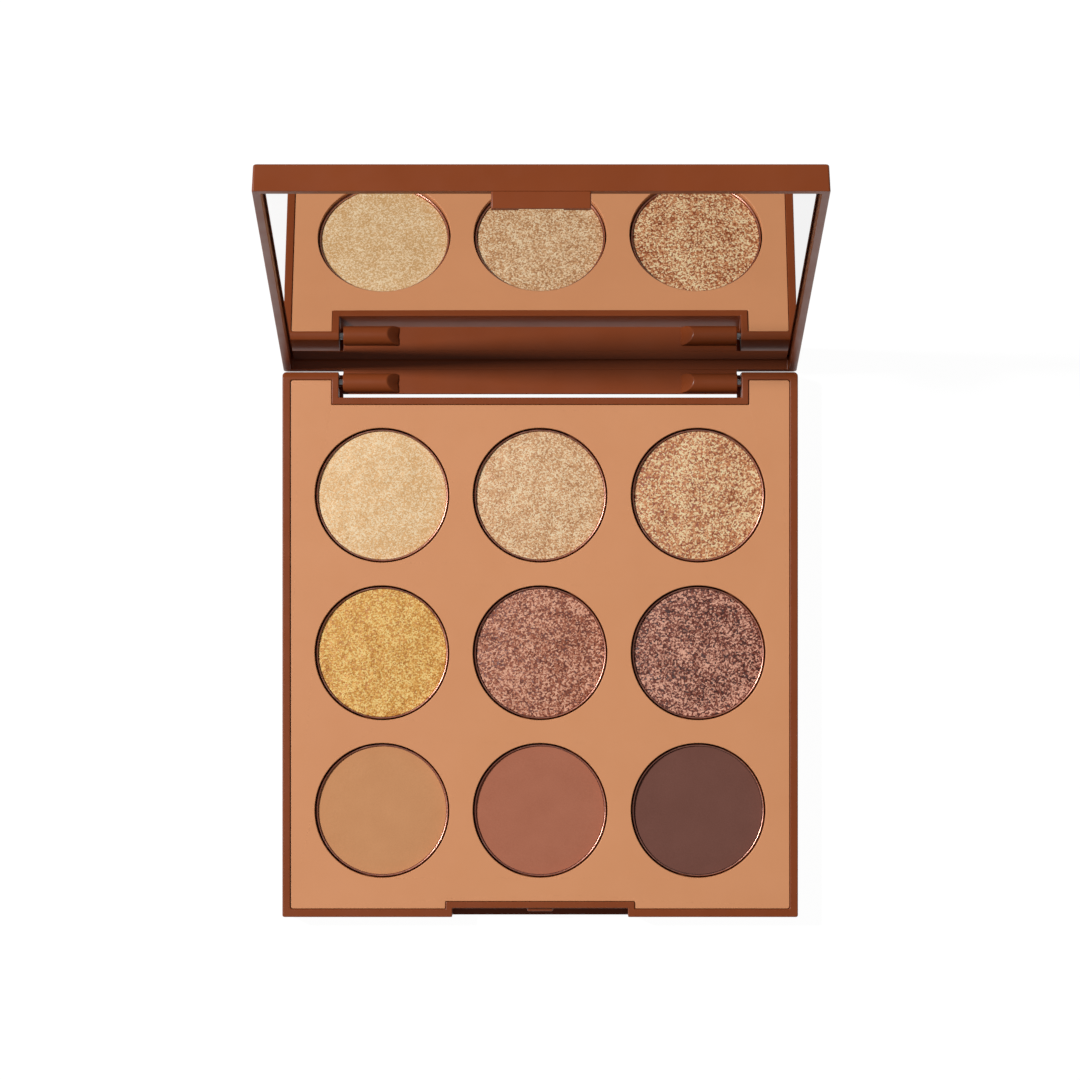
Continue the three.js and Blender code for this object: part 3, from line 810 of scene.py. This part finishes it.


# Shimmer lines: kind, dark, body, light, flake size in mm, tilt; the light colour is partly painted glint.
# Matte lines: kind, dark, light.
POWDERS = {
    ("rear", "left"): ("shimmer", (206, 158, 100), (229, 187, 134), (255, 230, 190), 0.23, 0.2),
    ("rear", "centre"): ("shimmer", (170, 116, 72), (220, 170, 120), (255, 230, 190), 0.26, 0.25),
    ("rear", "right"): ("shimmer", (134, 62, 28), (212, 140, 90), (255, 232, 184), 0.3, 0.3),
    ("middle", "left"): ("shimmer", (172, 108, 32), (221, 159, 70), (255, 222, 144), 0.26, 0.25),
    ("middle", "centre"): ("shimmer", (90, 32, 14), (166, 92, 64), (246, 188, 158), 0.3, 0.3),
    ("middle", "right"): ("shimmer", (54, 12, 4), (128, 58, 40), (244, 184, 158), 0.3, 0.3),
    ("front", "left"): ("matte", (193, 133, 86), (205, 145, 98)),
    ("front", "centre"): ("matte", (162, 94, 67), (174, 106, 79)),
    ("front", "right"): ("matte", (102, 58, 45), (113, 68, 56)),
}
WEAVE_PITCH = 0.28 * MM


def powder_finish(row, column):
    """The finish of one powder, from its line in the table."""
    kind, *looks = POWDERS[row, column]
    name = f"powder {row} {column}"
    if kind == "matte":
        return matte_finish(name, tone(*looks[0]), tone(*looks[1]), WEAVE_PITCH)
    dark, body, light, flake, tilt = looks
    return shimmer_finish(name, tone(*dark), tone(*body), tone(*light), flake * MM, tilt)


# --- Assembly --------------------------------------------------------------------------------------------

brown = (tone(129, 60, 25), tone(134, 64, 28))
tan = (tone(210, 143, 98), tone(213, 146, 101))
case_plastic = plastic_finish("case plastic", *brown, 0.36, 0.35 * MM, 0.003 * MM)
insert_plastic = plastic_finish("insert plastic", *tan, 0.48, 0.2 * MM, 0.004 * MM)
# The pans' warm pink tint is partly their own tone and partly painted reflection of the tan insert walls in
# their rims.
pan_metal = metal_finish("pan tinplate", tone(228, 172, 154), 0.3, 0.3 * MM)
pin_steel = metal_finish("pin steel", tone(214, 214, 216), 0.22, 0.2 * MM)
glue = hidden_finish("glue", tone(222, 214, 190), tone(236, 229, 206), 1.5 * MM, 0.5)
tape = hidden_finish("tape", tone(232, 230, 224), tone(244, 243, 238), 0.8 * MM, 0.8)

make_base(case_plastic)
make_insert(insert_plastic)
make_lid(case_plastic)
make_mirror(mirror_finish("mirror silver"))
for side in (-1, 1):
    make_pin(side, pin_steel)
for index, (row, column) in enumerate(PLACES):
    relief = (0.003 if row == "front" else 0.008) * MM
    make_pan(row, column, pan_metal)
    make_powder(index, row, column, relief, powder_finish(row, column))
    disc = frame["nodes"][f"glue_disc_{row}_{column}"]
    disc.data.materials.clear()
    disc.data.materials.append(glue)
sheet = frame["nodes"]["mirror_adhesive"]
sheet.data.materials.clear()
sheet.data.materials.append(tape)

# --- Floor, lights and camera ----------------------------------------------------------------------------

FLOOR_GLOW = 0.97
FLOOR_BOUNCE = 0.5
FLOOR_HALF = 3.0
FLOOR_LEVEL = -0.02 * MM
BACKDROP_LIGHT = 0.16
BACKDROP_SEEN = 0.95


def make_floor():
    """A large pale sheet that glows, more strongly to the eye and in gloss than in the light it scatters."""
    mesh = bpy.data.meshes.new("floor")
    corners = level(rectangle(-FLOOR_HALF, FLOOR_HALF, -FLOOR_HALF, FLOOR_HALF), FLOOR_LEVEL)
    mesh.from_pydata(corners.tolist(), [], [(0, 1, 2, 3)])
    floor = bpy.data.objects.new("floor", mesh)
    bpy.context.scene.collection.objects.link(floor)
    made, tree, shader, place = new_finish("light table", Roughness=0.9, Specular_IOR_Level=0.1)
    shader.inputs["Emission Color"].default_value = (1, 1, 1, 1)
    scattered = tree.nodes.new("ShaderNodeLightPath").outputs["Is Diffuse Ray"]
    glow = spread(tree, scattered, FLOOR_GLOW, FLOOR_BOUNCE, 0, 1)
    tree.links.new(glow, shader.inputs["Emission Strength"])
    mottle = noise(tree, place, 0.12, 2)
    surface = blend(tree, mottle, (0.06, 0.06, 0.06, 1), (0.07, 0.07, 0.07, 1))
    tree.links.new(surface, shader.inputs["Base Color"])
    mesh.materials.append(made)


def make_light(name, lean, target, distance, size, power):
    """A round soft light at a distance from its target, along (lean in x, lean in y, 1)."""
    data = bpy.data.lights.new(name, "AREA")
    data.shape = "DISK"
    data.size = size
    data.energy = power
    lamp = bpy.data.objects.new(name, data)
    way = Vector((*lean, 1)).normalized()
    lamp.location = Vector(target) + way * distance
    lamp.rotation_euler = way.to_track_quat("Z", "Y").to_euler()
    bpy.context.scene.collection.objects.link(lamp)


make_floor()
lid_lean = math.tan(OPEN_ANGLE - math.pi / 2 + math.radians(0.7))
make_light("key", (-0.73, lid_lean), (0, HINGE_Y, HINGE_Z), 2.2, 0.14, 48.0)

world = bpy.data.worlds.new("studio")
world.use_nodes = True
backdrop = world.node_tree.nodes["Background"]
backdrop.inputs["Color"].default_value = (1, 1, 1, 1)
seen = world.node_tree.nodes.new("ShaderNodeLightPath").outputs["Is Camera Ray"]
strength = spread(world.node_tree, seen, BACKDROP_LIGHT, BACKDROP_SEEN, 0, 1)
world.node_tree.links.new(strength, backdrop.inputs["Strength"])
bpy.context.scene.world = world

camera_data = bpy.data.cameras.new("camera")
camera_data.lens = 152.49
camera_data.shift_x = 0.0072
camera_data.shift_y = 0.1134
camera_data.sensor_width = 36
camera = bpy.data.objects.new("camera", camera_data)
camera.location = (-0.0016, -0.00365, 0.9298)
bpy.context.scene.collection.objects.link(camera)
bpy.context.scene.camera = camera
bpy.context.scene.view_settings.view_transform = "Standard"
